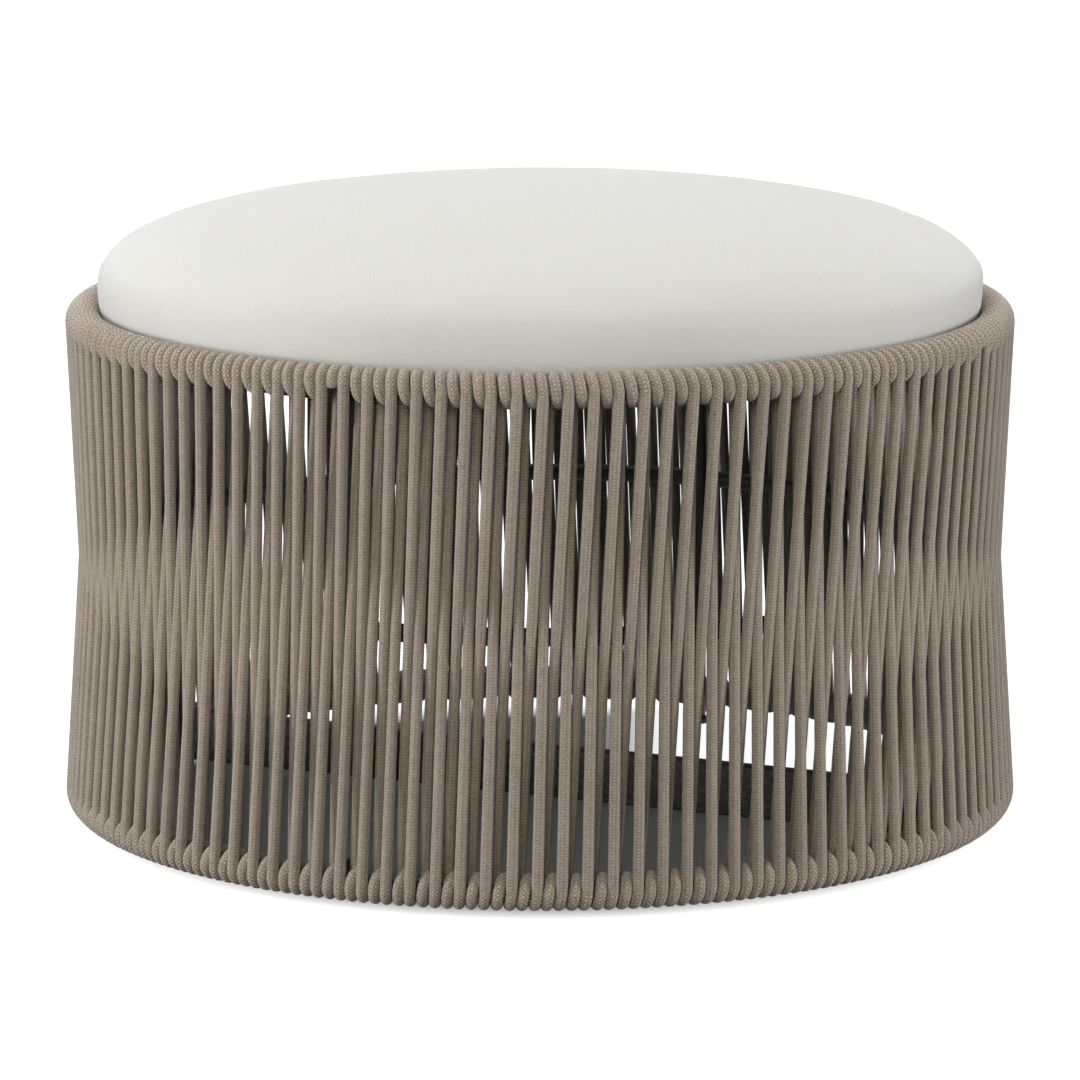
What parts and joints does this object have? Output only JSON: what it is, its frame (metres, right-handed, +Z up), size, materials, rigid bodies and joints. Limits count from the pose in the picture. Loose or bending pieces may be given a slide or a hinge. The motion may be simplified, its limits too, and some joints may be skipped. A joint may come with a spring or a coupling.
{
  "type": "outdoor ottoman footstool",
  "caption": "Round outdoor footstool: an open drum of wound rope on a metal rod frame, with a loose crowned seat cushion that lifts out.",
  "frame": {"origin": "centre of the footprint, on the floor", "axes": "+Z up; -Y is the pictured front; +X to the viewer's right"},
  "size_m": [0.646, 0.646, 0.4258],
  "materials": {
    "frame": "dark brown powder coat, satin",
    "rope": "round braided outdoor rope, matt taupe",
    "glide": "black moulded plastic",
    "cover": "fine woven outdoor cloth, off-white",
    "foam": "open-cell foam",
    "zip": "coil zip and slider, light grey"
  },
  "bodies": {
    "frame": {"top_ring": "frame", "bottom_ring": "frame", "waist_hoop": "frame", "seat_ring": "frame", "post_1": "frame", "post_2": "frame", "post_3": "frame", "post_4": "frame", "top_lug_1": "frame", "top_lug_2": "frame", "top_lug_3": "frame", "top_lug_4": "frame", "bottom_lug_1": "frame", "bottom_lug_2": "frame", "bottom_lug_3": "frame", "bottom_lug_4": "frame", "glide_1": "glide", "glide_2": "glide", "glide_3": "glide", "glide_4": "glide", "crossbar": "frame", "seat_slat_1": "frame", "seat_slat_2": "frame", "seat_slat_3": "frame", "seat_slat_4": "frame", "seat_slat_5": "frame", "seat_slat_6": "frame", "seat_slat_7": "frame", "rope_wall_1": "rope", "rope_wall_2": "rope", "rope_wall_3": "rope", "rope_wall_4": "rope"},
    "cushion": {"cushion_cover": "cover", "cushion_base": "cover", "cushion_foam": "foam", "cushion_zip": "zip"},
    "slider": {"zip_slider": "zip"}
  },
  "joints": [
    {"name": "cushion_lift", "type": "slide", "parent": "frame", "child": "cushion", "axis": [0, 0, 1], "range_m": [0, 0.12]},
    {"name": "zip_slide", "type": "slide", "parent": "cushion", "child": "slider", "axis": [1, 0, 0], "range_m": [0, 0.26]}
  ]
}
